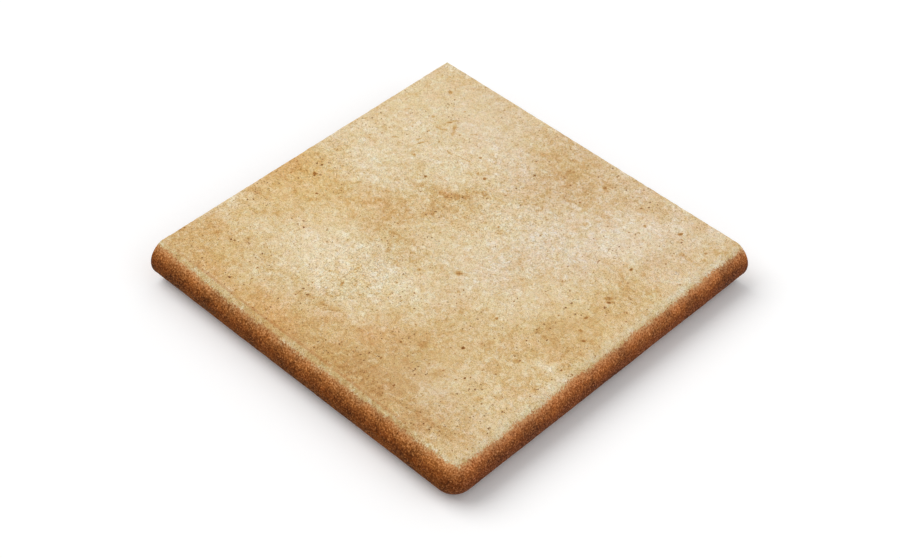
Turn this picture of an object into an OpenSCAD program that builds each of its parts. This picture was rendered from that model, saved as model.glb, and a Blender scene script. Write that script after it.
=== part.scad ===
// Corner stair tread tile: one fired ceramic piece with a bullnose drop lip on two adjoining sides.
// It stands on the underside of its lip, glazed face up. The lips face -Y and +X; the two plain
// sides that butt against the next tiles face -X and +Y.

/* [Tile] */
// Overall length along X, over the lip
tile_w = 330; // [240:1:420]
// Overall length along Y, over the lip
tile_d = 330; // [240:1:420]
// Thickness of the plate, key ribs included
plate_t = 12; // [8:0.5:16]
// Bevel along the top edge of the two plain sides
arris = 0.8; // [0.3:0.1:1.5]

/* [Lip] */
// Height of the lip, from its underside to the glazed face
lip_h = 38; // [30:0.5:55]
// Radius of the shoulder, where the glazed face rolls over into the lip
shoulder_r = 17; // [8:0.5:24]
// Radius of the outside corner, seen from above
corner_r = 18; // [8:0.5:32]
// Width of the flat underside that the lip stands on
land_w = 4; // [2:0.5:12]
// Radius between the underside of the lip and its back
heel_r = 5; // [1:0.5:8]
// Radius between the back of the lip and the plate
root_r = 8; // [3:0.5:9]
// Radius of the inside corner of the lip, seen from below
inner_r = 14; // [10:1:40]

/* [Key pattern] */
// Side of one square recess in the back of the plate
key_cell = 22; // [16:1:40]
// Width of the ribs between the recesses
key_rib = 6; // [3:0.5:12]
// Depth of the recesses
key_depth = 1.2; // [0.5:0.1:2]
// Plain border kept around the key pattern
key_margin = 8; // [4:1:20]

/* [Hidden] */
$fn = 96;

// The outer face bulges most at the end of the shoulder, and rolls back under from there
toe_r = lip_h - shoulder_r;
// Distance from the outer face to the back of the lip
lip_depth = toe_r + land_w + heel_r;
// Where the plate is plain again behind the lip
plate_start = lip_depth + root_r;
// Centre of the inside corner
inner_c = lip_depth + max(inner_r, root_r);
// Run-out of the cuts past the faces they break through
over = 1;

// A quarter of a disc in the second quadrant, turned by a multiple of 90 degrees
module quarter_disc(r, turn = 0) {
    rotate(turn) intersection() {
        circle(r);
        translate([-r, 0]) square(r);
    }
}

// Section of the lip's outer form: u runs inward from the outer face, v upward from the underside
module outer_section(reach) {
    translate([shoulder_r, toe_r]) quarter_disc(shoulder_r);
    translate([toe_r, toe_r]) quarter_disc(toe_r, 90);
    translate([shoulder_r, toe_r]) square([reach - shoulder_r, shoulder_r]);
    translate([toe_r, 0]) square([reach - toe_r, toe_r]);
}

// Section of the hollow behind the lip and under the plate
module hollow_section(reach) {
    plate_v = lip_h - plate_t;
    translate([plate_start, -over]) square([reach - plate_start, plate_v + over]);
    translate([lip_depth, -over]) square([root_r, plate_v - root_r + over]);
    translate([plate_start, plate_v - root_r]) quarter_disc(root_r);
    difference() {
        translate([lip_depth - heel_r, -over]) square([heel_r, heel_r + over]);
        translate([lip_depth - heel_r, heel_r]) circle(heel_r);
    }
}

// In the corner frame x runs inward from the +X face and y from the -Y face.
// A section run along the -Y side, from x = start to x = stop
module run_front(start, stop) {
    translate([start, 0, 0]) rotate([90, 0, 90]) linear_extrude(stop - start) children();
}

// The same along the +X side, from y = start to y = stop
module run_side(start, stop) {
    mirror([1, -1, 0]) run_front(start, stop) children();
}

// A section turned about the point (c, c), through the quarter that faces the corner
module turn_corner(c) {
    translate([c, c, 0]) rotate(180) rotate_extrude(angle = 90) intersection() {
        translate([c, 0]) mirror([1, 0]) children();
        translate([0, -over]) square([c, lip_h + 2 * over]);
    }
}

module outer_form() {
    difference() {
        intersection() {
            run_front(0, tile_w) outer_section(tile_d);
            run_side(0, tile_d) outer_section(tile_w);
        }
        translate([-over, -over, -over]) cube([corner_r + over, corner_r + over, lip_h + 2 * over]);
    }
    turn_corner(corner_r) outer_section(tile_w);
}

module hollow() {
    run_front(inner_c, tile_w + over) hollow_section(tile_d + over);
    run_side(inner_c, tile_d + over) hollow_section(tile_w + over);
    turn_corner(inner_c) hollow_section(tile_w);
}

// Square recesses in rows and columns, centred on the plain back of the plate
module key_recesses() {
    pitch = key_cell + key_rib;
    span_x = tile_w - plate_start - 2 * key_margin;
    span_y = tile_d - plate_start - 2 * key_margin;
    count_x = floor((span_x + key_rib) / pitch);
    count_y = floor((span_y + key_rib) / pitch);
    first_x = plate_start + key_margin + (span_x - count_x * pitch + key_rib) / 2;
    first_y = plate_start + key_margin + (span_y - count_y * pitch + key_rib) / 2;
    for (i = [0 : count_x - 1], j = [0 : count_y - 1])
        translate([first_x + i * pitch, first_y + j * pitch, lip_h - plate_t - over])
            cube([key_cell, key_cell, key_depth + over]);
}

// What the bevel takes off a plain side that lies at u = reach
module arris_section(reach) {
    translate([reach, lip_h]) polygon([
        [-arris - over, over], [over, over], [over, -arris - over]
    ]);
}

// The lip with its rounded corner, solid, standing on its land
module lip() {
    color("sienna") difference() {
        outer_form();
        hollow();
        translate([plate_start, plate_start, lip_h - plate_t]) cube([tile_w, tile_d, plate_t + over]);
    }
}

// The plate behind the lip, with its keyed back
module plate() {
    color("wheat") difference() {
        translate([plate_start, plate_start, lip_h - plate_t])
            cube([tile_w - plate_start, tile_d - plate_start, plate_t]);
        key_recesses();
    }
}

module corner_tread_tile() {
    translate([tile_w / 2, -tile_d / 2, 0]) mirror([1, 0, 0]) difference() {
        union() {
            lip();
            plate();
        }
        run_front(-over, tile_w + over) arris_section(tile_d);
        run_side(-over, tile_d + over) arris_section(tile_w);
    }
}

corner_tread_tile();
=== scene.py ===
"""The corner stair tread tile's glazed surface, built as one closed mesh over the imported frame.

Lengths are in millimetres until to_row() turns them into metres, and the studio's are in metres.
The mesh is worked out in the corner frame: a runs inward from the +X face, b inward from the -Y
face and the height up from the underside of the lip, so that both lips follow the same rules.
"""
import functools
import math
from types import SimpleNamespace

import bmesh
import bpy
import numpy as np
from mathutils import Matrix, Vector, noise


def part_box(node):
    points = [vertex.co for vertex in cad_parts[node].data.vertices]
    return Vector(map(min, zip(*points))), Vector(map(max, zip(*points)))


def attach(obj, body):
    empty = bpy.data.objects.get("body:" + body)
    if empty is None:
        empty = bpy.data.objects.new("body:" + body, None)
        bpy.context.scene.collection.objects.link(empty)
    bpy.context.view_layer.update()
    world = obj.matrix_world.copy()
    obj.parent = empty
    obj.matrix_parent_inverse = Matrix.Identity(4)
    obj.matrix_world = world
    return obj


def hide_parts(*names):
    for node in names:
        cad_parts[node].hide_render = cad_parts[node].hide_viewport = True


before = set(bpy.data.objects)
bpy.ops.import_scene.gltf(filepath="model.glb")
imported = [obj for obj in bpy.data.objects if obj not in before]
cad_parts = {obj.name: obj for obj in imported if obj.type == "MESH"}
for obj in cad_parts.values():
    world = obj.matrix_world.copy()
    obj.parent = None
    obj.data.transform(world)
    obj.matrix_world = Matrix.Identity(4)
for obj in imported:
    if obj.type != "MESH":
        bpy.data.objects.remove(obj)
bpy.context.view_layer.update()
NODE = "corner_tread_tile"
MM_PER_M = 1000
LOW, HIGH = (Vector(corner) * MM_PER_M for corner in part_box(NODE))

# The tile's section, as in its source
SIDE = HIGH.x - LOW.x
LIP_H = HIGH.z - LOW.z
SHOULDER_R = 17
TOE_R = LIP_H - SHOULDER_R
CORNER_R = 18
LAND_W = 4
HEEL_R = 5
ROOT_R = 8
INNER_R = 14
PLATE_T = 12
ARRIS = 0.8
LIP_DEPTH = TOE_R + LAND_W + HEEL_R
PLATE_START = LIP_DEPTH + ROOT_R
INNER_C = LIP_DEPTH + INNER_R

# Its key pattern
KEY_CELL = 22
KEY_RIB = 6
KEY_DEPTH = 1.2
KEY_MARGIN = 8

# How many faces the mesh has along a lip, round each arc of the section and round the corner
STEPS_ALONG = 238
STEPS_SHOULDER = 20
STEPS_TOE = 22
STEPS_HEEL = 5
STEPS_ROOT = 6
STEPS_CORNER = 14

# Faces that meet at more than this angle, in degrees, do so at a sharp edge
SHARP_ANGLE = 32
# Lengths below this one count as none
TINY = 1e-4

# Arc length over the lip, from where the shoulder starts to where the toe starts and to the land
SHOULDER_ARC = SHOULDER_R * math.pi / 2
LIP_ARC = SHOULDER_ARC + TOE_R * math.pi / 2


def srgb(red, green, blue):
    """An 8-bit colour as a linear RGBA value."""
    channels = [c / 255 for c in (red, green, blue)]
    return [c / 12.92 if c <= 0.04045 else ((c + 0.055) / 1.055) ** 2.4 for c in channels] + [1]


# --------------------------------------------------------------------------------------------
# Mesh
# --------------------------------------------------------------------------------------------

class Builder:
    """Collects points of the corner frame and the faces between them."""

    def __init__(self):
        self.points = []
        self.faces = []
        self.glazed = []

    def add_points(self, points):
        """Adds points and returns their numbers."""
        first = sum(len(group) for group in self.points)
        self.points.append(np.asarray(points, float))
        return first + np.arange(len(points))

    def add_face(self, corners, glazed=False):
        """Adds one face. A corner that is named twice counts once."""
        self.faces.append(list(dict.fromkeys(int(corner) for corner in corners)))
        self.glazed.append(glazed)

    def add_strip(self, one, two, glazed=False):
        """Adds the row of faces between two lines of as many points."""
        for k in range(len(one) - 1):
            self.add_face((one[k], one[k + 1], two[k + 1], two[k]), glazed)


def stops():
    """Distances from a cut side, from its arris to where the outside corner begins."""
    reach = SIDE - CORNER_R
    return np.concatenate([[0], np.linspace(ARRIS, reach, STEPS_ALONG)])


def ring(offset, radius, height):
    """A line round both lips at one distance from the outer faces, with a rounded corner."""
    start = offset + radius
    along = SIDE - stops() * (SIDE - start) / (SIDE - CORNER_R)
    turn = np.linspace(0, math.pi / 2, STEPS_CORNER + 1)[1:-1]
    front = [(a, offset, height) for a in along]
    arc = [(start - radius * math.sin(t), start - radius * math.cos(t), height) for t in turn]
    side = [(offset, b, height) for b in along[::-1]]
    return front + arc + side


def arc_steps(count):
    """The angles that split a quarter turn evenly, without its start."""
    return [math.pi / 2 * k / count for k in range(1, count + 1)]


def outer_section():
    """(offset, height) down the glazed side of the lip, from the flat to the land."""
    yield SHOULDER_R, LIP_H
    for t in arc_steps(STEPS_SHOULDER):
        yield SHOULDER_R * (1 - math.sin(t)), LIP_H - SHOULDER_R * (1 - math.cos(t))
    for t in arc_steps(STEPS_TOE):
        yield TOE_R * (1 - math.cos(t)), TOE_R * (1 - math.sin(t))


def hidden_section():
    """(offset, height) from the land, round the heel and up the back of the lip to the plate."""
    yield TOE_R + LAND_W, 0
    for t in arc_steps(STEPS_HEEL):
        yield TOE_R + LAND_W + HEEL_R * math.sin(t), HEEL_R * (1 - math.cos(t))
    yield LIP_DEPTH, LIP_H - PLATE_T - ROOT_R
    for t in arc_steps(STEPS_ROOT):
        yield PLATE_START - ROOT_R * math.cos(t), LIP_H - PLATE_T - ROOT_R * (1 - math.sin(t))


def add_field(build):
    """The flat glazed face. Returns its line beside both lips and its two lines on the cut sides."""
    lines = SIDE - stops()
    grid = build.add_points([(a, b, LIP_H) for a in lines for b in lines])
    grid = grid.reshape(len(lines), len(lines))
    for i in range(len(lines) - 1):
        build.add_strip(grid[i], grid[i + 1], glazed=True)
    corner = [grid[-1, -1]] * (STEPS_CORNER - 1)
    edge = list(grid[:, -1]) + corner + list(grid[-1, ::-1])
    return edge, list(grid[0]), list(grid[:, 0])


def key_lines():
    """Where the recesses of the keyed back begin and end, along one side."""
    span = SIDE - PLATE_START - 2 * KEY_MARGIN
    pitch = KEY_CELL + KEY_RIB
    count = int((span + KEY_RIB) // pitch)
    first = PLATE_START + KEY_MARGIN + (span - count * pitch + KEY_RIB) / 2
    return [first + pitch * i + edge for i in range(count) for edge in (0, KEY_CELL)]


def add_back(build, inner):
    """The plate's keyed back, from the inner line to the cut sides. Returns its outer corners."""
    level = LIP_H - PLATE_T
    lines = key_lines()
    count = len(lines)
    grid = build.add_points([(a, b, level) for a in lines for b in lines]).reshape(count, count)
    for i in range(count - 1):
        for j in range(count - 1):
            rim = (grid[i, j], grid[i + 1, j], grid[i + 1, j + 1], grid[i, j + 1])
            between_recesses = i % 2 or j % 2
            if between_recesses:
                build.add_face(rim)
                continue
            floor = build.add_points([(a, b, level + KEY_DEPTH) for a, b in (
                (lines[i], lines[j]), (lines[i + 1], lines[j]),
                (lines[i + 1], lines[j + 1]), (lines[i], lines[j + 1]))])
            build.add_face(floor)
            for k in range(4):
                build.add_face((rim[k], rim[(k + 1) % 4], floor[(k + 1) % 4], floor[k]))
    side_stop, far, front_stop = build.add_points([
        (lines[0], SIDE, level), (SIDE, SIDE, level), (SIDE, lines[0], level)])
    near_edge = list(grid[0, ::-1]) + list(grid[1:, 0])
    build.add_face(inner + [side_stop] + near_edge + [front_stop])
    far_edge = list(grid[-1, :]) + list(grid[-2::-1, -1])
    build.add_face([side_stop, far, front_stop] + far_edge)
    return side_stop, far, front_stop


def tile_mesh():
    """The whole tile, from the glazed face out over the lips and round to the cut sides."""
    build = Builder()
    edge, front_cut, side_cut = add_field(build)
    rings = [edge]
    for offset, height in outer_section():
        rings.append(build.add_points(ring(offset, max(CORNER_R - offset, 0), height)))
        build.add_strip(rings[-2], rings[-1], glazed=True)
    for offset, height in hidden_section():
        rings.append(build.add_points(ring(offset, INNER_C - offset, height)))
        build.add_strip(rings[-2], rings[-1])
    side_stop, far, front_stop = add_back(build, list(rings[-1]))
    build.add_face([line[0] for line in rings] + [front_stop, far] + front_cut[:-1])
    build.add_face([line[-1] for line in rings] + [side_stop, far] + side_cut[:-1])
    return build


# --------------------------------------------------------------------------------------------
# Relief and tone, worked out at each point
# --------------------------------------------------------------------------------------------

# Soft clouds in the glaze: (x, y) from the tile's centre, half-lengths, turn in degrees and how
# far they lighten (+) or darken (-) it, before all of them are strengthened alike
CLOUD_STRENGTH = 1.06
CLOUDS = [
    # Pale drifts
    ((48, 62), (44, 26), 35, 0.08), ((84, 110), (20, 22), -10, 0.10),
    ((-126, 34), (32, 13), -35, 0.09), ((-62, -70), (40, 23), -5, 0.11),
    ((2, -62), (20, 11), 25, 0.07), ((90, -112), (13, 16), 0, 0.03),
    ((-76, 128), (40, 18), -10, 0.04), ((-78, 74), (30, 24), 0, 0.09), ((28, 2), (18, 26), 10, 0.04),
    ((-142, 104), (24, 34), 0, 0.05), ((82, -10), (24, 12), 20, 0.03),
    ((145, -42), (13, 6), 10, 0.06),
    # Tan and brown ones
    ((-8, 140), (32, 22), -30, -0.09), ((18, 118), (20, 18), 0, -0.06),
    ((16, 84), (11, 7), 0, -0.07), ((-46, 46), (21, 10), 24, -0.14), ((-22, 63), (14, 5), 40, -0.09),
    ((-32, 30), (18, 14), 0, -0.05), ((-78, -9), (36, 16), 0, -0.09),
    ((-50, 14), (22, 7), 35, -0.05), ((-30, -22), (30, 10), -10, -0.05),
    ((-138, -132), (30, 20), 0, -0.06), ((-70, -108), (70, 7), 0, -0.04),
    ((-8, -126), (40, 22), 0, -0.08), ((122, -138), (40, 18), 0, -0.09),
    ((50, -110), (26, 34), 8, -0.12), ((28, -142), (26, 14), 0, -0.07),
    ((84, -62), (46, 24), 0, -0.06), ((125, -66), (16, 12), 0, -0.04),
    ((112, -128), (26, 24), 0, -0.04), ((128, 52), (26, 26), 0, -0.08),
    ((132, -2), (24, 26), 0, -0.09), ((112, -22), (26, 14), 0, -0.05),
    ((-160, -28), (12, 26), 0, -0.03), ((-132, -40), (26, 24), 0, -0.03),
    ((-146, 146), (18, 12), -20, -0.03), ((54, 138), (18, 16), 0, -0.05),
    ((80, 154), (36, 9), 0, -0.04), ((-104, 104), (14, 9), -30, -0.04),
    ((74, -98), (14, 16), 0, -0.04), ((-156, -120), (12, 14), 0, -0.05),
    ((78, -46), (26, 9), 0, -0.03), ((146, 150), (10, 12), 0, -0.05), ((146, 48), (9, 22), 0, -0.04),
    ((146, -66), (9, 14), 0, -0.03), ((130, -148), (22, 9), 0, 0.07),
    ((-40, -50), (22, 10), 0, 0.035), ((-24, -101), (13, 9), 0, 0.04),
    ((-16, 100), (24, 12), 0, 0.035), ((76, 56), (18, 16), 0, 0.03), ((-26, 52), (9, 8), 0, 0.035),
    ((-138, 25), (20, 10), 0, 0.03), ((114, -101), (12, 11), 0, -0.04),
    ((130, -4), (24, 9), 0, -0.025), ((50, -151), (14, 8), 0, 0.035),
]
# Where the glaze turns golden (+) or greyer (-), in the same form
WARMTH = [
    ((-150, -22), (24, 36), 0, 0.70), ((-150, 90), (24, 46), 0, 0.35),
    ((-112, -16), (34, 20), 0, 0.45), ((-128, -70), (34, 30), 0, 0.35),
    ((-60, 8), (46, 18), 20, 0.3), ((-48, 46), (20, 10), 20, 0.35),
    ((-138, -128), (34, 26), 0, 0.45), ((-70, -146), (40, 12), 0, 0.4),
    ((-24, -140), (36, 16), 0, 0.2), ((132, 22), (26, 44), 0, 0.5), ((-30, -74), (40, 20), 0, 0.3),
    ((124, -62), (24, 24), 0, 0.30), ((60, -50), (50, 16), 0, -0.1), ((46, 80), (54, 46), 0, -0.4),
    ((90, 124), (50, 30), 0, -0.45), ((-74, 116), (48, 34), 0, -0.3), ((34, -8), (30, 30), 0, -0.3),
    ((58, 40), (28, 34), 0, -0.3), ((-8, 106), (26, 20), 0, -0.35), ((134, 112), (24, 34), 0, -0.35),
    ((-20, 156), (120, 12), 0, -0.5), ((100, -132), (60, 30), 0, -0.6),
    ((126, 30), (20, 60), 0, -0.2), ((-34, -82), (20, 14), 0, 0.25), ((-40, 120), (90, 14), 0, -0.2),
    ((-96, -46), (16, 14), 0, 0.35), ((88, 62), (18, 16), 0, -0.3),
]
# Where it turns reddish, in the same form
BLUSH = [
    ((-154, -116), (14, 14), 0, 0.5), ((-44, -144), (30, 12), 0, 0.6),
    ((-160, -30), (10, 24), 0, 0.7), ((28, -102), (20, 18), 0, 0.5), ((-72, -6), (22, 10), 0, 0.5),
    ((-46, 46), (12, 5), 20, 0.6), ((-6, 94), (16, 10), 0, 0.4), ((-120, -148), (24, 10), 0, 0.5),
    ((128, -28), (30, 7), 5, 0.4), ((-40, -156), (50, 6), 0, 0.3), ((40, -154), (34, 5), 0, 0.3),
    ((132, -148), (24, 10), 0, -0.4), ((0, -118), (30, 12), 0, 0.35),
    ((90, -150), (44, 8), 0, -0.25),
]
# Where its fine texture is coarser (+) or smoother (-), in the same form
TEXTURE = [
    ((2, 84), (44, 36), 0, 0.15), ((-48, 42), (26, 26), 0, 0.10), ((-28, -74), (22, 36), 0, 0.35),
    ((-90, 18), (44, 16), 0, 0.10), ((-152, 0), (16, 50), 0, 0.15), ((50, 40), (50, 30), 0, 0.15),
    ((108, 14), (46, 30), 0, -0.20), ((48, -112), (36, 34), 0, -0.25),
    ((104, -124), (40, 24), 0, -0.20), ((-60, -140), (70, 20), 0, -0.15),
    ((-110, 128), (50, 30), 0, -0.10), ((106, 110), (30, 40), 0, -0.10),
    ((-100, 68), (28, 24), 0, 0.15), ((-28, -72), (14, 24), 0, 0.15),
    ((130, 12), (20, 28), 0, -0.18), ((74, -66), (28, 22), 0, -0.18),
    ((-92, 136), (56, 22), 0, -0.20), ((-116, 86), (30, 34), 0, -0.12),
]
# How many millimetres further the cream runs down the lip (+) or less far (-), in the same form
RIM = [
    ((-72, -165), (56, 30), 0, 1.0), ((118, -165), (44, 30), 0, -0.9), ((165, 56), (30, 14), 0, 1.1),
    ((165, -36), (30, 14), 0, -0.7), ((-160, -165), (12, 30), 0, -0.6),
]
# Stains that stand out and are longer than they are wide, in the same form, with their strength.
# The last ten are creases, whose darkening is painted shade.
STREAKS = [
    ((-138.5, -15), (3, 1.5), -35, 1.2), ((121.9, 45.6), (3.6, 2.2), 47, 0.5),
    ((115, 140), (1.5, 2.6), -8, 1.4), ((113.8, 82.3), (1.3, 2.1), -14, 1.6),
    ((124, 18.4), (2.4, 1.3), 72, 0.8), ((-107, 108), (2.6, 1.2), 50, 0.8),
    ((-98.3, 105.5), (6.2, 1.7), -50, 0.55), ((-83, 81), (4.5, 1), 5, 0.7),
    ((-67, 83.5), (9, 0.6), 8, 0.7), ((-105.5, 73), (6, 1), 69, 0.9),
    ((132, 123), (3.6, 2), 0, 0.45), ((-107, 97), (4.5, 1.1), 8, 0.5),
    ((-38, 20), (1.8, 7), 15, 0.25), ((125.4, 42.8), (2.1, 1.4), 47, 1.2),
    ((-104.6, 113.3), (3.2, 1.3), 50, 0.55), ((-94.3, 99.3), (2.4, 1.3), -50, 0.5),
    ((-103.3, 98.8), (2.8, 1.1), 48, 0.6), ((-109.8, 75.5), (3.4, 1), 75, 0.7),
    ((-138.5, 64.5), (4.5, 2), -30, 0.55), ((-126, 63), (3.4, 1), 50, 0.65),
    ((-118.4, 60.8), (2.2, 0.9), 45, 0.6), ((-143, 97.5), (2, 1), 50, 0.75),
    ((-96.3, 84), (1.9, 1), 50, 0.75), ((-79, 80.5), (2.2, 1.3), 45, 0.5),
    ((-82, 111.5), (4.2, 1), 52, 0.5), ((-141.6, 51.7), (2.4, 1.2), 50, 0.7),
    # Creases, sunk into the relief and darkened with painted shade in them
    ((-35.6, -77), (5.8, 0.9), 88, 0.65), ((-34.9, -66.4), (5.2, 1), 83, 0.65),
    ((-30.9, -86.8), (2.8, 1), 103, 0.95), ((-23.2, -78.5), (6.4, 0.9), 99, 0.55),
    ((-24.4, -67.3), (3.4, 0.9), 46, 0.45), ((-53.5, -52.3), (2.7, 0.8), 9, 0.55),
    ((-46.8, -83), (2.8, 1), 55, 0.8), ((-16.4, -72), (2.8, 0.8), 97, 0.45),
    ((-13, -75.5), (3, 0.8), -8, 0.45), ((-23, -111), (2.6, 1.3), 47, 0.5),
]
# Round stains that stand out: (x, y), radius and strength
PITS = [
    ((-73.3, 46), 1.4, 1.4), ((80.7, -69.7), 1.4, 1.4), ((37, 138.5), 2.4, 0.7),
    ((-134, 137), 2.3, 1), ((-142, -4), 1.2, 1.6), ((143, 137), 1.3, 1), ((127.6, 45), 1.3, 0.5),
    ((-25.5, -58), 1.3, 0.8), ((23.3, -15), 3.1, 1), ((-38, 78.3), 1.6, 1.3),
    ((77, -29.5), 1.4, 1.25), ((102.5, -90.5), 1, 1.6), ((139, -1), 1.6, 0.8),
    ((-120, -30), 1.1, 1.3), ((-58, 94), 1.2, 1.5), ((9, 44.5), 1.1, 1.6), ((45, -120), 1.1, 0.8),
    ((147, -35), 0.9, 1.1), ((130, 5.5), 1.5, 0.6), ((35, 111.5), 1.1, 1.1),
    ((89.5, 127.5), 1.5, 1.2), ((117, -52), 2.7, 0.6), ((-46, 78.5), 1.4, 0.8), ((44, -98), 1, 1),
    ((-1, -34), 1.8, 0.8), ((-95.5, 101), 1.2, 0.5), ((58, -88), 3.5, 0.35), ((-122, 104), 1.6, 0.9),
    ((-111.6, 88.7), 1.1, 0.65), ((-125, 83), 1.1, 1), ((-135.5, 72), 1.8, 0.4),
    ((-107.7, 127.7), 1, 0.8), ((-89.9, 102.6), 1, 0.9), ((-98.7, 59), 1.4, 0.9),
    ((-119.2, 125.6), 1, 0.7), ((-32.8, -70.8), 1.1, 0.8), ((-18.7, -88.2), 1.2, 0.7),
    ((-12.3, -85.7), 1.1, 0.7),
]

# How far patches are bent by broad and by small waves, and how far the pits of stains are
BROAD_BEND = 9
SMALL_BEND = 5
PIT_BEND = 0.35
# How sharply a soft patch ends
PATCH_EDGE = 1.3

# Heights of the glaze's relief
WAVE_H = 0.16
WAVELET_H = 0.12
LIP_GRAIN_H = 0.07
PIT_DEPTH = 0.22
# The relief dies out this near to a cut side, and the lip's grain this near to the lip's start
FADE_W = 3

# Raised veins, their width in terms of the noise they follow, and how much lighter they are painted
# along their ridges as a painted highlight. They show only where the texture is coarse.
VEIN_H = 0.4
VEIN_W = 0.15
VEIN_HIGHLIGHT = 0.03

# The line that the mould leaves along the front lip: its arc length, half-width and depth
MOULD_LINE_AT = 4
MOULD_LINE_W = 0.9
MOULD_LINE_DEPTH = 0.08
# It begins this far from the side lip's face and is full from there on
MOULD_LINE_BEGINS = 40
MOULD_LINE_FULL = 90
# It fades over this length beside the cut side, to this share
MOULD_LINE_FADE_W = 60
MOULD_LINE_LEFT = 0.4

# The glaze's chipped edge along the cut sides: its narrowest and its widest bevel, and how much
# its large and its small chips vary it, as shares of the arris
CHIP_MIN = 0.3
CHIP_MAX = 1.6
LARGE_CHIPS = 0.45
SMALL_CHIPS = 0.3


def spread(place, middle, half, turn):
    """1 in the middle of a soft ellipse on the plan and 0 well outside it, for each place."""
    turn = math.radians(turn)
    off = place - middle
    along = (off[:, 0] * math.cos(turn) + off[:, 1] * math.sin(turn)) / half[0]
    across = (off[:, 1] * math.cos(turn) - off[:, 0] * math.sin(turn)) / half[1]
    return np.exp(-0.5 * (along ** 2 + across ** 2) ** PATCH_EDGE)


def patches(place, entries):
    """The sum of a list's soft ellipses, each times its own amount, for each place."""
    return sum(amount * spread(place, *ellipse) for *ellipse, amount in entries)


def drift(points, size, octaves, seed):
    """Smooth noise of about -1 to 1 at each point, with lumps of one size in millimetres."""
    shift = Vector((seed * 17.3, seed * 5.1, seed * 9.7))
    return np.array([noise.fractal(Vector(p) / size + shift, 1, 2, octaves) for p in points])


def drifts(points, size, octaves, seeds):
    """One column of noise for each seed."""
    return np.stack([drift(points, size, octaves, seed) for seed in seeds], 1)


def reach_over_lip(a, b, height):
    """Arc length from where the shoulder starts: negative on the flat, rising over the lip."""
    near = np.minimum(a, b)
    diagonal = CORNER_R - np.hypot(np.maximum(CORNER_R - a, 0), np.maximum(CORNER_R - b, 0))
    inward = np.where(near < CORNER_R, np.minimum(near, diagonal), near)
    drop = np.clip(LIP_H - height, 0, LIP_H)
    on_shoulder = SHOULDER_R * np.arccos(np.clip(1 - drop / SHOULDER_R, 0, 1))
    under = np.arcsin(np.clip((drop - SHOULDER_R) / TOE_R, 0, 1))
    over = np.where(drop < SHOULDER_R, on_shoulder, SHOULDER_ARC + TOE_R * under)
    return np.where(drop < TINY, SHOULDER_R - inward, over)


def mould_share(a, b):
    """How clearly the mould's line shows: on the front lip alone, and fading towards its ends."""
    begun = (a - MOULD_LINE_BEGINS) / (MOULD_LINE_FULL - MOULD_LINE_BEGINS)
    left = (SIDE - a) / MOULD_LINE_FADE_W
    return np.clip(begun, 0, 1) * np.clip(left, MOULD_LINE_LEFT, 1) * (b < a)


def glaze_fields(points):
    """The attributes that the glaze's nodes read, and how pitted the glaze is, at each point."""
    a, b, height = points.T
    place = np.stack([SIDE / 2 - a, b - SIDE / 2], 1)
    warp = drifts(points, 34, octaves=3, seeds=(1, 2))
    ripple = drifts(points, 9, octaves=4, seeds=(3, 4))
    bent = place + BROAD_BEND * warp + SMALL_BEND * ripple
    pits = [(middle, (radius, radius), 0, amount) for middle, radius, amount in PITS]
    pitted = patches(place + PIT_BEND * ripple, STREAKS + pits)
    fields = {
        "tone": CLOUD_STRENGTH * patches(bent, CLOUDS),
        "warmth": patches(bent, WARMTH),
        "blush": patches(bent, BLUSH),
        "texture": 1 + patches(bent, TEXTURE),
        "rim": patches(place, RIM),
        "moulded": mould_share(a, b),
        "reach": reach_over_lip(a, b, height),
        "on_side": np.clip((b - a) / (2 * CORNER_R) + 0.5, 0, 1),
    }
    return fields, np.clip(pitted, 0, 1)


def shape_surface(points, normals, glazed):
    """The glaze's relief: points moved along their normals, and the attributes for its nodes."""
    fields, pitted = glaze_fields(points)
    from_cut = SIDE - np.maximum(points[:, 0], points[:, 1])
    fade = np.clip(from_cut / FADE_W, 0, 1)
    flat = np.clip(-fields["reach"] / FADE_W, 0, 1)
    waves = WAVE_H * drift(points, 45, octaves=2, seed=5)
    rolling = waves + WAVELET_H * drift(points, 12, octaves=4, seed=6)
    grainy = LIP_GRAIN_H * drift(points, 2.6, octaves=2, seed=7)
    coarse = np.clip(6 * (fields["texture"] - 1.1), 0, 1)
    veins = np.exp(-(drift(points, 15, octaves=3, seed=10) / VEIN_W) ** 2) * coarse
    off_line = (fields["reach"] - MOULD_LINE_AT) / MOULD_LINE_W
    mould_line = -MOULD_LINE_DEPTH * np.exp(-off_line ** 2) * fields["moulded"]
    lift = rolling * fade + grainy * (1 - flat) * fade - PIT_DEPTH * pitted + mould_line
    lift = lift + VEIN_H * veins * fade
    # Painted highlight along the raised veins
    fields["tone"] = fields["tone"] + VEIN_HIGHLIGHT * veins
    moved = points + normals * (lift * glazed)[:, None]

    chips = 1 + LARGE_CHIPS * drift(points, 5, octaves=3, seed=8)
    chips = chips + SMALL_CHIPS * drift(points, 1.6, octaves=2, seed=9)
    edge = LIP_H - np.clip(ARRIS * chips, CHIP_MIN, CHIP_MAX) + from_cut
    moved[:, 2] = np.where(glazed, np.minimum(moved[:, 2], edge), moved[:, 2])
    return moved, fields


def to_row(points):
    """From the corner frame in millimetres to the row frame in metres."""
    a, b, height = points.T
    return np.stack([HIGH.x - a, LOW.y + b, LOW.z + height], 1) / MM_PER_M


def closed_mesh(name, build):
    """One closed mesh, still in the corner frame, and which of its points are on the glaze."""
    mesh = bpy.data.meshes.new(name)
    mesh.from_pydata(np.concatenate(build.points).tolist(), [], build.faces)
    mesh.polygons.foreach_set("material_index", [0 if glazed else 1 for glazed in build.glazed])
    work = bmesh.new()
    work.from_mesh(mesh)
    bmesh.ops.remove_doubles(work, verts=work.verts, dist=TINY)
    bmesh.ops.triangulate(work, faces=[face for face in work.faces if len(face.verts) > 4])
    bmesh.ops.recalc_face_normals(work, faces=work.faces)
    work.to_mesh(mesh)
    glazed = [any(face.material_index == 0 for face in vert.link_faces) for vert in work.verts]
    work.free()
    return mesh, np.array(glazed)


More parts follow.
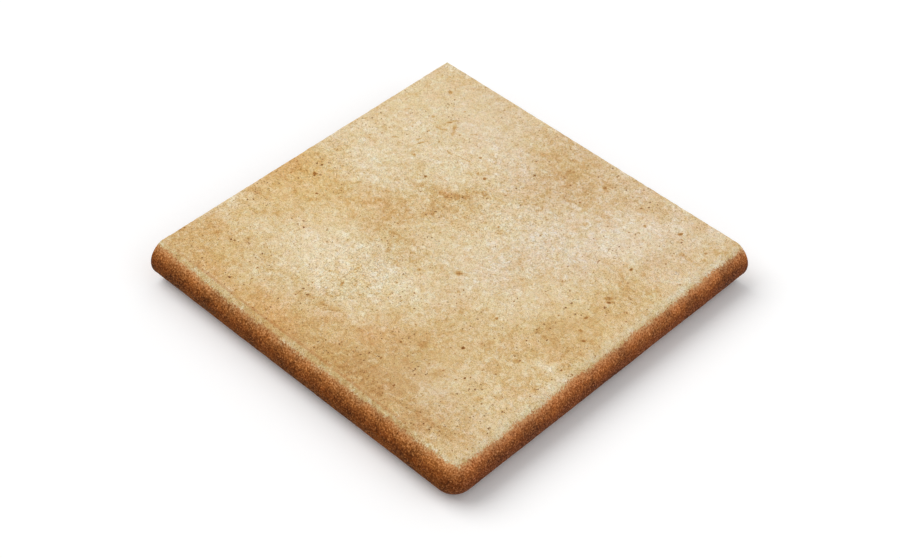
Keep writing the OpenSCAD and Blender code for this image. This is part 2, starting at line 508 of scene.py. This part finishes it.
def mesh_object(name, build, glaze, clay):
    """The tile's surface, with its relief, its attributes and its two materials."""
    mesh, glazed = closed_mesh(name, build)
    count = len(mesh.vertices)
    points = np.empty(count * 3)
    mesh.vertices.foreach_get("co", points)
    normals = np.empty(count * 3, np.float32)
    mesh.vertex_normals.foreach_get("vector", normals)
    moved, fields = shape_surface(points.reshape(count, 3), normals.reshape(count, 3), glazed)
    mesh.vertices.foreach_set("co", to_row(moved).ravel())
    mesh.flip_normals()
    for field, values in fields.items():
        mesh.attributes.new(field, "FLOAT", "POINT").data.foreach_set("value", values)
    mesh.polygons.foreach_set("use_smooth", [True] * len(mesh.polygons))
    mesh.set_sharp_from_angle(angle=math.radians(SHARP_ANGLE))
    mesh.materials.append(glaze)
    mesh.materials.append(clay)
    mesh.update()
    piece = bpy.data.objects.new(name, mesh)
    bpy.context.scene.collection.objects.link(piece)
    return piece


# --------------------------------------------------------------------------------------------
# Materials
# --------------------------------------------------------------------------------------------

class Nodes:
    """Adds nodes to a new material or world, its owner, and returns their sockets."""

    def __init__(self, owner):
        self.owner = owner
        owner.use_nodes = True
        self.tree = owner.node_tree
        self.tree.nodes.clear()

    @functools.cached_property
    def place(self):
        """The shaded point in millimetres."""
        return self.times(self.add("ShaderNodeTexCoord").outputs["Object"], MM_PER_M)

    def add(self, kind, inputs=None, **settings):
        """Adds one node. inputs has a value or a socket for each of its inputs that is set."""
        made = self.tree.nodes.new(kind)
        for setting, value in settings.items():
            setattr(made, setting, value)
        for socket, value in (inputs or {}).items():
            if isinstance(value, bpy.types.NodeSocket):
                self.tree.links.new(value, made.inputs[socket])
            else:
                made.inputs[socket].default_value = value
        return made

    def math(self, operation, one, two=0.0):
        return self.add("ShaderNodeMath", {0: one, 1: two}, operation=operation).outputs[0]

    def vector(self, operation, *vectors):
        made = self.add("ShaderNodeVectorMath", dict(enumerate(vectors)), operation=operation)
        return made.outputs["Vector"]

    def wobble(self, scale, detail):
        """A vector of three noises, each of about 0 to 1."""
        inputs = {"Vector": self.place, "Scale": scale, "Detail": detail}
        return self.add("ShaderNodeTexNoise", inputs).outputs["Color"]

    def total(self, first, *rest):
        for value in rest:
            first = self.math("ADD", first, value)
        return first

    def product(self, first, *rest):
        for value in rest:
            first = self.math("MULTIPLY", first, value)
        return first

    def noise(self, size, detail=2.0, rough=0.5, place=None, warp=0.0):
        """Noise of about -0.5 to 0.5, with lumps of one size in millimetres."""
        inputs = {"Vector": place or self.place, "Scale": 1 / size, "Detail": detail,
                  "Roughness": rough, "Distortion": warp}
        return self.math("SUBTRACT", self.add("ShaderNodeTexNoise", inputs).outputs[0], 0.5)

    def scaled(self, value, amount):
        return self.math("MULTIPLY", value, amount)

    def attribute(self, name):
        """A value that shape_surface() worked out at each point of the mesh."""
        return self.add("ShaderNodeAttribute", attribute_name=name).outputs["Fac"]

    def step(self, value, start, stop, low=0.0, high=1.0):
        """Turns start..stop into low..high, smoothly and held at both ends."""
        inputs = {"Value": value, "From Min": start, "From Max": stop, "To Min": low, "To Max": high}
        made = self.add("ShaderNodeMapRange", inputs, interpolation_type="SMOOTHSTEP")
        return made.outputs[0]

    def ramp(self, value, stops):
        """A colour ramp. stops is [(position, 8-bit colour)]."""
        made = self.add("ShaderNodeValToRGB", {0: value})
        elements = made.color_ramp.elements
        for _ in stops[2:]:
            elements.new(0.5)
        for element, (position, colour) in zip(elements, stops):
            element.position = position
            element.color = srgb(*colour)
        return made.outputs[0]

    def times(self, vector, amount):
        """A vector or a colour times one number."""
        made = self.add("ShaderNodeVectorMath", {0: vector, 3: amount}, operation="SCALE")
        return made.outputs["Vector"]

    def blend(self, amount, one, two, mode="MIX"):
        """The first colour turned by this amount into the second, or into the two multiplied."""
        inputs = {0: amount, 6: one, 7: two}
        made = self.add("ShaderNodeMix", inputs, data_type="RGBA", blend_type=mode)
        return made.outputs[2]

    def finish(self, colour, roughness, relief, specular=0.5):
        """The shader. relief is a height in millimetres."""
        bump = self.add("ShaderNodeBump", {
            "Height": relief, "Strength": 1.0, "Distance": 1 / MM_PER_M})
        shader = self.add("ShaderNodeBsdfPrincipled", {
            "Base Color": colour, "Roughness": roughness, "Normal": bump.outputs[0],
            "Specular IOR Level": specular})
        self.add("ShaderNodeOutputMaterial", {"Surface": shader.outputs[0]})
        return self.owner


def specks(nodes, spacing, size, share, seed, ragged=0.8):
    """Small spots: 1 inside, 0 outside, in this share of the cells that are one spacing wide.

    ragged is how far their outlines wander, and seed sets them apart from other specks.
    """
    bends = nodes.times(nodes.wobble(0.9 / size, 1.0), ragged * size * 4)
    bent = nodes.vector("ADD", nodes.place, bends)
    shifted = nodes.vector("ADD", bent, (seed * 31, seed * 17, 0))
    cells = nodes.add("ShaderNodeTexVoronoi", {"Vector": shifted, "Scale": 1 / spacing})
    chosen = nodes.add("ShaderNodeSeparateColor", {0: cells.outputs["Color"]}).outputs[0]
    held = nodes.math("LESS_THAN", chosen, share)
    width = nodes.step(chosen, 0, share, 0.5 * size / spacing, size / spacing)
    edge = nodes.math("SUBTRACT", width, cells.outputs["Distance"])
    soft = nodes.step(edge, -0.12 * size / spacing, 0.35 * size / spacing)
    return nodes.math("MULTIPLY", soft, held)


# Where a stain's soft edge begins and where it is full, in shares of its radius
STAIN_OUTER = 1.3
STAIN_INNER = 0.5
# Its outline is bent by up to half of this
STAIN_BEND = 2.2
# How far a long stain reaches above and below the flat
STAIN_HALF_H = 6


def stains_and_crease_shade(nodes):
    """How strong the stain of STREAKS or PITS is at this point, or 0, with ragged edges. The creases
    among STREAKS are darkened as painted shade in them.
    """
    offset = nodes.vector("SUBTRACT", nodes.wobble(0.5, 3.0), (0.5, 0.5, 0.5))
    bent = nodes.vector("MULTIPLY_ADD", offset, [STAIN_BEND] * 3, nodes.place)
    found = 0.0
    for middle, (long, short), turn, strength in STREAKS:
        placed = nodes.add("ShaderNodeMapping", {
            "Vector": bent, "Location": (*middle, LIP_H), "Rotation": (0, 0, math.radians(turn)),
            "Scale": (long, short, STAIN_HALF_H)}, vector_type="TEXTURE").outputs[0]
        far = nodes.add("ShaderNodeVectorMath", {0: placed}, operation="LENGTH").outputs["Value"]
        dark = nodes.step(far, STAIN_OUTER, STAIN_INNER, 0, strength)
        found = nodes.math("MAXIMUM", found, dark)
    level = nodes.vector("MULTIPLY", bent, (1, 1, 0))
    for middle, size, strength in PITS:
        far = nodes.add("ShaderNodeVectorMath", {0: level, 1: (*middle, 0)}, operation="DISTANCE")
        far = far.outputs["Value"]
        dark = nodes.step(far, STAIN_OUTER * size, STAIN_INNER * size, 0, strength)
        found = nodes.math("MAXIMUM", found, dark)
    return found


# Glaze colours from a deep stain to the palest drift
GLAZE_TONES = [
    (0.0, (122, 78, 42)), (0.16, (158, 107, 58)), (0.30, (199, 153, 94)), (0.42, (215, 179, 124)),
    (0.50, (225, 196, 148)), (0.60, (233, 210, 170)), (0.75, (242, 226, 194)), (1.0, (249, 241, 222)),
]
# Lip colours from the cream's edge to the land, by share of the arc length between them
LIP_TONES = [
    (0.0, (200, 151, 100)), (0.06, (183, 122, 72)), (0.10, (167, 105, 54)), (0.14, (153, 92, 42)),
    (0.22, (126, 69, 28)), (0.29, (109, 55, 17)), (0.36, (101, 50, 8)), (0.60, (98, 48, 8)),
    (0.85, (98, 52, 24)), (1.0, (120, 74, 46)),
]
# The cream's tone where no cloud, patch or mark changes it
BASE_TONE = 0.568
# Arc length over the lip at which the cream gives way to the brown
LIP_BEGINS = 8.8
# How far before the land the glaze starts to thin out, and how far before it the clay is bare
GLAZE_THINS = 7
GLAZE_ENDS = 2

# Tints that the cream is multiplied by. A channel over 255 brightens it.
GREENISH = (252, 258, 248)
PINKISH = (258, 251, 257)
GOLDEN = (255, 238, 196)
GREYER = (249, 248, 262)
REDDISH = (255, 232, 218)
# Painted highlight: a greyer band where the cream starts to curve over the shoulder
RIM_HIGHLIGHT_TINT = (246, 256, 262)
# The line that the mould leaves
MOULD_LINE = (176, 116, 66)
# The side lip is redder: its brown is multiplied by a tint and turned a little towards a brown
SIDE_TINT = (265, 252, 246)
SIDE_BROWN = (104, 60, 62)
# The light grains of each lip
FRONT_GRIT = (214, 158, 100)
SIDE_GRIT = (226, 164, 128)

# The bare clay, with pale grog and pores in it, whose dark colour is painted shade in them
CLAY = (178, 125, 86)
CLAY_TONES = [
    (0.1, (126, 80, 50)), (0.35, (156, 104, 68)), (0.55, CLAY), (0.75, (194, 144, 102)),
    (0.95, (210, 168, 128)),
]
GROG = (216, 180, 140)
PORE_SHADE = (84, 54, 38)
# The cut glaze on the lip's section is brown below the first height and cream above the second
SKIN_TURNS = (31, 35)
SKIN_BROWN = (112, 64, 34)
SKIN_CREAM = (222, 200, 160)


def glaze_values(nodes):
    """What the glaze's colour, roughness and relief share, at the shaded point."""
    here = SimpleNamespace()
    here.reach = nodes.attribute("reach")
    here.on_side = nodes.attribute("on_side")
    here.on_front = nodes.math("SUBTRACT", 1.0, here.on_side)
    here.texture = nodes.attribute("texture")
    here.sand = nodes.noise(0.7, 2, 0.6)
    here.crumbs = nodes.noise(1.25, 2, 0.6)
    here.grain = nodes.noise(1.7, 3, 0.65, warp=0.5)
    here.worms = nodes.noise(3.6, 2, 0.6, warp=0.7)
    here.mottle = nodes.noise(11, 4, 0.65)
    here.cloud = nodes.noise(44, 3, 0.55)
    here.found = stains_and_crease_shade(nodes)
    return here


def add_marks(nodes, here):
    """Adds the marks that are strewn over the glaze: specks, islands and scabs, and pale curls that
    are painted glints on its fine relief.
    """
    close = specks(nodes, spacing=3.2, size=0.80, share=0.31, seed=1)
    apart = specks(nodes, spacing=7.0, size=1.15, share=0.35, seed=2)
    here.small = nodes.math("MAXIMUM", close, apart)
    here.pin_pricks = specks(nodes, spacing=2.2, size=0.58, share=0.26, seed=5)
    here.dots = specks(nodes, spacing=12.0, size=1.05, share=0.32, seed=7, ragged=0.3)
    here.islands = nodes.step(nodes.noise(7.5, 5, 0.7, warp=0.6), 0.01, 0.09)
    here.clumps = nodes.math("MULTIPLY", nodes.step(nodes.noise(24, 2), -0.10, 0.13, 0.3, 1.3),
                             nodes.step(here.texture, 1.35, 1.05, 0.35, 1.0))
    # Pale curls: painted glints where the fine relief would catch the light; the relief also raises
    # them a little
    here.flecks = nodes.step(nodes.noise(1.9, 2, 0.6, warp=1.8), 0.07, 0.15)
    scabs = nodes.noise(4.0, 1, 0.4, warp=0.5)
    shown = nodes.step(nodes.noise(11, 3, 0.6), -0.10, 0.06, 0.2, 1.0)
    here.scab_rims = nodes.product(nodes.step(scabs, -0.01, 0.03),
                                   nodes.step(scabs, 0.09, 0.05), shown)
    here.scabs = nodes.product(nodes.step(scabs, 0.03, 0.09), shown)


def cream_tone(nodes, here):
    """How light the cream is, from 0 in a deep stain to 1 in the palest drift."""
    patchy = nodes.total(nodes.scaled(here.mottle, 0.31), nodes.scaled(here.islands, -0.08))
    tone = nodes.total(BASE_TONE, nodes.attribute("tone"), nodes.scaled(here.cloud, 0.12),
                       nodes.product(patchy, here.texture))
    in_tan = nodes.step(tone, 0.60, 0.42, 0.85, 1.0)
    in_pale = nodes.step(tone, 0.50, 0.72, 0.95, 1.4)
    # The fine texture; its pale curls are painted glints
    fine = nodes.total(
        nodes.scaled(nodes.noise(5.5, 2), 0.18), nodes.scaled(here.worms, 0.12),
        nodes.scaled(here.grain, 0.31), nodes.scaled(here.sand, 0.28),
        nodes.scaled(here.flecks, 0.12), nodes.scaled(here.scab_rims, -0.06),
        nodes.scaled(here.scabs, 0.09))
    # found darkens the tone in the stains, and in the creases as painted shade
    tone = nodes.total(
        tone, nodes.product(fine, here.texture, in_pale),
        nodes.product(here.small, here.clumps, in_tan, -0.61),
        nodes.product(here.pin_pricks, here.clumps, in_tan, -0.58),
        nodes.scaled(here.found, -0.30), nodes.product(here.dots, here.clumps, -0.38))
    browned = nodes.product(nodes.step(here.reach, -30, 2), here.on_front, -0.09)
    # Painted highlight: a paler band on the side lip where its curve starts
    painted_side_highlight = nodes.product(nodes.step(here.reach, 3, 6), nodes.step(here.reach, 10, 8),
                             here.on_side, 0.05)
    return nodes.total(tone, browned, painted_side_highlight)


def cream_colour(nodes, here):
    """The cream, with its drifts of hue, its fine grain, partly painted light and shade of the fine
    relief, and its golden, grey and red patches.
    """
    cream = nodes.ramp(cream_tone(nodes, here), GLAZE_TONES)
    hue = nodes.total(0.5, nodes.scaled(nodes.noise(2.6, 2, 0.6), 1.3),
                      nodes.scaled(nodes.noise(14, 3), 0.8))
    tint = nodes.blend(hue, srgb(*GREENISH), srgb(*PINKISH))
    cream = nodes.blend(1.0, cream, tint, "MULTIPLY")
    # A neutral lighter and darker fine grain, partly painted light and shade of the fine relief that
    # the bump also shows
    grain_and_painted_relief_shade = nodes.total(nodes.scaled(here.grain, 0.45), nodes.scaled(here.sand, 1.7))
    grain_and_painted_relief_shade = nodes.math("MINIMUM", nodes.product(grain_and_painted_relief_shade, here.texture), 0.10)
    cream = nodes.times(cream, nodes.math("ADD", grain_and_painted_relief_shade, 1.01))
    warmth = nodes.math("ADD", nodes.attribute("warmth"), nodes.scaled(nodes.noise(30, 2), 0.5))
    golden = nodes.scaled(nodes.step(warmth, 0.05, 1.1), 0.65)
    cream = nodes.blend(golden, cream, srgb(*GOLDEN), "MULTIPLY")
    greyer = nodes.scaled(nodes.step(warmth, -0.05, -0.8), 0.6)
    cream = nodes.blend(greyer, cream, srgb(*GREYER), "MULTIPLY")
    blush = nodes.math("ADD", nodes.attribute("blush"), nodes.scaled(here.mottle, 0.9))
    reddish = nodes.step(blush, 0.1, 1.0, 0, 0.6)
    return nodes.blend(reddish, cream, srgb(*REDDISH), "MULTIPLY")


def rimmed(nodes, here, cream):
    """The cream with the line that the mould leaves and, below it, a painted highlight in a greyer
    band.
    """
    wander = nodes.total(here.reach, nodes.scaled(nodes.noise(50, 2), 1.6),
                         nodes.scaled(here.grain, 1.0), nodes.scaled(here.rim, -0.35))
    line = nodes.math("MULTIPLY", nodes.step(wander, 2.3, 3.6), nodes.step(wander, 5.3, 4.5))
    gaps = nodes.math("ADD", nodes.noise(17, 3), nodes.scaled(here.grain, 0.9))
    broken = nodes.step(gaps, -0.34, 0.0)
    moulded = nodes.attribute("moulded")
    line = nodes.product(line, broken, moulded)
    cream = nodes.blend(nodes.scaled(line, 0.42), cream, srgb(*MOULD_LINE))
    # Painted highlight, in a greyer band below the line where the shoulder's curve starts
    below = nodes.step(here.reach, 4, 6)
    share = nodes.total(nodes.scaled(moulded, 0.5), nodes.scaled(here.on_front, 0.4), 0.2)
    return nodes.blend(nodes.product(below, share, broken), cream, srgb(*RIM_HIGHLIGHT_TINT), "MULTIPLY")


def ragged_reach(nodes, here):
    """Arc length over the lip, varied so that the cream ends in a ragged line."""
    return nodes.total(
        here.reach, nodes.scaled(nodes.noise(13, 3), 5.0), nodes.scaled(here.grain, 8.0),
        nodes.scaled(here.crumbs, 9.0), nodes.scaled(here.on_side, -1.5),
        nodes.scaled(here.rim, -1.0))


def lip_grit(nodes, here, well_over):
    """The lip's light (+) and dark (-) grains, stronger towards the land."""
    grit = nodes.total(nodes.scaled(here.crumbs, -2.4), nodes.scaled(here.grain, -1.2),
                       nodes.scaled(here.sand, -1.6))
    strength = nodes.math("ADD", nodes.scaled(well_over, 0.42),
                          nodes.step(here.reach, 20, 32, 0.20, 1.15))
    return nodes.math("MULTIPLY", grit, strength)


def lip_blotches(nodes, here):
    """The lip's larger light (+) and dark (-) patches, stronger beyond the shoulder."""
    blotches = nodes.total(nodes.scaled(here.mottle, 1.4),
                           nodes.scaled(nodes.noise(26, 3, 0.6), 2.2), nodes.scaled(here.worms, 1.0))
    return nodes.math("MULTIPLY", blotches, nodes.step(here.reach, 10, 22, 0.45, 1.0))


def brown_colour(nodes, here, edge):
    """The rubbed brown of the lips, from where the cream ends to the land, lighter on the side lip as
    painted light.
    """
    well_over = nodes.step(edge, LIP_BEGINS - 1, LIP_BEGINS + 6)
    down = nodes.total(edge, nodes.product(well_over, here.crumbs, 14.0),
                       nodes.scaled(here.on_side, -1.2))
    inputs = {"Value": down, "From Min": LIP_BEGINS, "From Max": LIP_ARC}
    brown = nodes.ramp(nodes.add("ShaderNodeMapRange", inputs).outputs[0], LIP_TONES)
    grit = lip_grit(nodes, here, well_over)
    # Grains and patches of the brown, and painted light that makes the side lip's brown lighter
    shade = nodes.total(1.0, grit, lip_blotches(nodes, here), nodes.scaled(here.on_side, 0.15))
    brown = nodes.times(brown, nodes.math("MAXIMUM", shade, 0.25))
    reddened = nodes.math("MULTIPLY", here.on_side, nodes.step(here.reach, 23, 14))
    brown = nodes.blend(reddened, brown, srgb(*SIDE_TINT), "MULTIPLY")
    brown = nodes.blend(nodes.scaled(here.on_side, 0.12), brown, srgb(*SIDE_BROWN))
    pale_grit = nodes.blend(here.on_side, srgb(*FRONT_GRIT), srgb(*SIDE_GRIT))
    return nodes.blend(nodes.step(grit, 0.05, 0.6, 0, 0.30), brown, pale_grit)


def glaze_relief(nodes, here, over_lip):
    """The height of the relief that is too fine for the mesh, in millimetres."""
    return nodes.total(
        nodes.product(here.worms, nodes.step(here.texture, 1.0, 1.35, 0.85, 1.9)),
        nodes.scaled(here.grain, 0.6), nodes.scaled(here.sand, 0.36),
        nodes.product(here.crumbs, over_lip, -0.3), nodes.scaled(here.scabs, 0.28),
        nodes.scaled(here.flecks, 0.10))


def glaze_material():
    """The satin glaze: mottled cream on the flat, rubbed brown on the lips, bare by the land."""
    nodes = Nodes(bpy.data.materials.new("satin_glaze"))
    here = glaze_values(nodes)
    add_marks(nodes, here)
    cream = cream_colour(nodes, here)
    here.rim = nodes.attribute("rim")
    cream = rimmed(nodes, here, cream)
    edge = ragged_reach(nodes, here)
    brown = brown_colour(nodes, here, edge)
    over_lip = nodes.step(edge, LIP_BEGINS - 0.9, LIP_BEGINS + 1.3)
    colour = nodes.blend(over_lip, cream, brown)
    uneven_reach = nodes.math("ADD", here.reach, nodes.scaled(here.mottle, 8))
    bare = nodes.step(uneven_reach, LIP_ARC - GLAZE_THINS, LIP_ARC - GLAZE_ENDS)
    colour = nodes.blend(bare, colour, srgb(*CLAY))
    roughness = nodes.total(0.50, nodes.scaled(here.mottle, 0.20), nodes.scaled(here.grain, 0.22),
                            nodes.scaled(here.found, 0.18), nodes.scaled(over_lip, 0.28))
    return nodes.finish(colour, roughness, glaze_relief(nodes, here, over_lip), specular=0.05)


def depth_in_lip(nodes, inward, height):
    """How deep a point of the cut lip lies under the shoulder's or the toe's outline."""
    over = nodes.math("MAXIMUM", nodes.math("SUBTRACT", height, TOE_R), 0.0)
    under = nodes.math("MAXIMUM", nodes.math("SUBTRACT", TOE_R, height), 0.0)
    depths = []
    for radius, rise in ((SHOULDER_R, over), (TOE_R, under)):
        across = nodes.math("MAXIMUM", nodes.math("SUBTRACT", radius, inward), 0.0)
        squares = nodes.total(nodes.product(across, across), nodes.product(rise, rise))
        depths.append(nodes.math("SUBTRACT", radius, nodes.math("SQRT", squares)))
    below = nodes.math("GREATER_THAN", TOE_R, height)
    return nodes.total(nodes.product(below, depths[1]),
                       nodes.product(nodes.math("SUBTRACT", 1.0, below), depths[0]))


def glaze_skin(nodes, inward, height, crumbs, grain):
    """How much glaze covers the clay: a skin round the cut lip, a run below the plain arris."""
    depth = depth_in_lip(nodes, inward, height)
    run_over = nodes.step(inward, SHOULDER_R, 2 * SHOULDER_R, 1.0, 0.45)
    ragged = nodes.total(nodes.product(depth, run_over), nodes.scaled(crumbs, 1.6),
                         nodes.scaled(grain, 1.0), nodes.scaled(nodes.noise(13, 4, 0.6), 2.0))
    return nodes.step(ragged, 1.5, 0.6, 0, 0.9)


def clay_material():
    """The unglazed body, with the cut glaze showing round the lip's section and under the arris."""
    nodes = Nodes(bpy.data.materials.new("fired_clay"))
    place = nodes.add("ShaderNodeSeparateXYZ", {0: nodes.place})
    height = place.outputs["Z"]
    inward = nodes.math("MINIMUM", nodes.math("SUBTRACT", HIGH.x, place.outputs["X"]),
                        nodes.math("SUBTRACT", place.outputs["Y"], LOW.y))
    stretched = nodes.vector("MULTIPLY", nodes.place, (0.12, 0.12, 1))
    grain = nodes.noise(1.3, 4, 0.7)
    crumbs = nodes.noise(3.2, 3, 0.6)
    patchy = nodes.noise(38, 4, 0.6)
    drags = nodes.noise(1.6, 3, 0.6, place=stretched)
    grog = specks(nodes, spacing=3.4, size=0.6, share=0.45, seed=3)
    pores = specks(nodes, spacing=5.2, size=0.7, share=0.4, seed=4)
    tone = nodes.total(0.5, nodes.scaled(patchy, 0.75), nodes.scaled(crumbs, 0.35),
                       nodes.scaled(drags, 0.45), nodes.scaled(grain, 0.5))
    colour = nodes.ramp(tone, CLAY_TONES)
    colour = nodes.blend(nodes.scaled(grog, 0.55), colour, srgb(*GROG))
    # Painted shade in the pores, which the relief also sinks
    colour = nodes.blend(nodes.scaled(pores, 0.75), colour, srgb(*PORE_SHADE))
    skin = glaze_skin(nodes, inward, height, crumbs, grain)
    glaze = nodes.blend(nodes.step(height, *SKIN_TURNS), srgb(*SKIN_BROWN), srgb(*SKIN_CREAM))
    colour = nodes.blend(skin, colour, glaze)
    relief = nodes.total(
        nodes.scaled(drags, 0.5), nodes.scaled(crumbs, 0.5), nodes.scaled(grain, 0.5),
        nodes.scaled(pores, -0.25), nodes.scaled(skin, 0.12))
    return nodes.finish(colour, nodes.total(0.85, nodes.scaled(grain, 0.2)), relief, specular=0.25)


# --------------------------------------------------------------------------------------------
# Studio
# --------------------------------------------------------------------------------------------

# The camera's place in metres, its angles in degrees and its lens in millimetres
CAMERA_AT = (0.782, -0.831, 1.121)
CAMERA_AZIMUTH = 43.26
CAMERA_ELEVATION = 44.36
CAMERA_ROLL = 1.46
CAMERA_LENS = 81.1
SENSOR_W = 36

# How the light on a face that looks up is shared between the room and the lamps
ROOM_SHARE = 0.50
KEY_SHARE = 0.38
FILL_SHARE = 0.12

# The floor's half-width in metres, and how light it is to the camera and to the tile
FLOOR_HALF_W = 6
FLOOR_SEEN = 1.04
FLOOR_BOUNCE = 0.86


def direction(azimuth, elevation):
    """The unit vector at these angles in degrees. The azimuth goes from -Y towards +X."""
    azimuth, elevation = math.radians(azimuth), math.radians(elevation)
    return Vector((math.sin(azimuth) * math.cos(elevation),
                   -math.cos(azimuth) * math.cos(elevation), math.sin(elevation)))


def place_camera():
    back = direction(CAMERA_AZIMUTH, CAMERA_ELEVATION)
    right = Vector((0, 0, 1)).cross(back).normalized()
    level = Matrix((right, back.cross(right), back)).transposed().to_4x4()
    data = bpy.data.cameras.new("camera")
    data.sensor_width = SENSOR_W
    data.lens = CAMERA_LENS
    camera = bpy.data.objects.new("camera", data)
    camera.matrix_world = (Matrix.Translation(CAMERA_AT) @ level
                           @ Matrix.Rotation(math.radians(CAMERA_ROLL), 4, "Z"))
    bpy.context.scene.collection.objects.link(camera)
    bpy.context.scene.camera = camera


def add_sun(name, share, azimuth, elevation, softness):
    """A distant lamp that gives a face looking up this share of its light."""
    data = bpy.data.lights.new(name, "SUN")
    data.energy = share * math.pi / math.sin(math.radians(elevation))
    data.angle = math.radians(softness)
    lamp = bpy.data.objects.new(name, data)
    towards = direction(azimuth, elevation)
    lamp.rotation_euler = towards.to_track_quat("Z", "Y").to_euler()
    bpy.context.scene.collection.objects.link(lamp)


def as_backdrop(nodes):
    """1 for what the camera sees, directly, mirrored or through glass, and 0 for other light."""
    path = nodes.add("ShaderNodeLightPath").outputs
    mirrored = nodes.math("MAXIMUM", path["Is Glossy Ray"], path["Is Transmission Ray"])
    return nodes.math("MAXIMUM", path["Is Camera Ray"], mirrored)


def light_room():
    """A room that is white to the camera but dimmer as a light, and two soft lamps."""
    nodes = Nodes(bpy.data.worlds.new("room"))
    strength = nodes.step(as_backdrop(nodes), 0, 1, ROOM_SHARE, 1)
    room = nodes.add("ShaderNodeBackground", {"Color": (1, 1, 1, 1), "Strength": strength})
    nodes.add("ShaderNodeOutputWorld", {"Surface": room.outputs[0]})
    bpy.context.scene.world = nodes.owner
    add_sun("key", KEY_SHARE, azimuth=-62, elevation=56, softness=50)
    add_sun("fill", FILL_SHARE, azimuth=100, elevation=50, softness=60)


def add_floor():
    """A pale floor that the camera sees as white and that throws back a little less light."""
    mesh = bpy.data.meshes.new("floor")
    corners = [(x * FLOOR_HALF_W, y * FLOOR_HALF_W, LOW.z / MM_PER_M)
               for x, y in ((-1, -1), (1, -1), (1, 1), (-1, 1))]
    mesh.from_pydata(corners, [], [(0, 1, 2, 3)])
    nodes = Nodes(bpy.data.materials.new("floor_white"))
    bounce, seen = ((grey, grey, grey, 1) for grey in (FLOOR_BOUNCE, FLOOR_SEEN))
    colour = nodes.blend(as_backdrop(nodes), bounce, seen)
    shader = nodes.add("ShaderNodeBsdfDiffuse", {"Color": colour})
    nodes.add("ShaderNodeOutputMaterial", {"Surface": shader.outputs[0]})
    mesh.materials.append(nodes.owner)
    floor = bpy.data.objects.new("floor", mesh)
    bpy.context.scene.collection.objects.link(floor)


def main():
    piece = mesh_object("tile_surface", tile_mesh(), glaze_material(), clay_material())
    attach(piece, "root")
    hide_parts(NODE)
    add_floor()
    light_room()
    place_camera()
    bpy.context.scene.view_settings.view_transform = "Standard"


main()
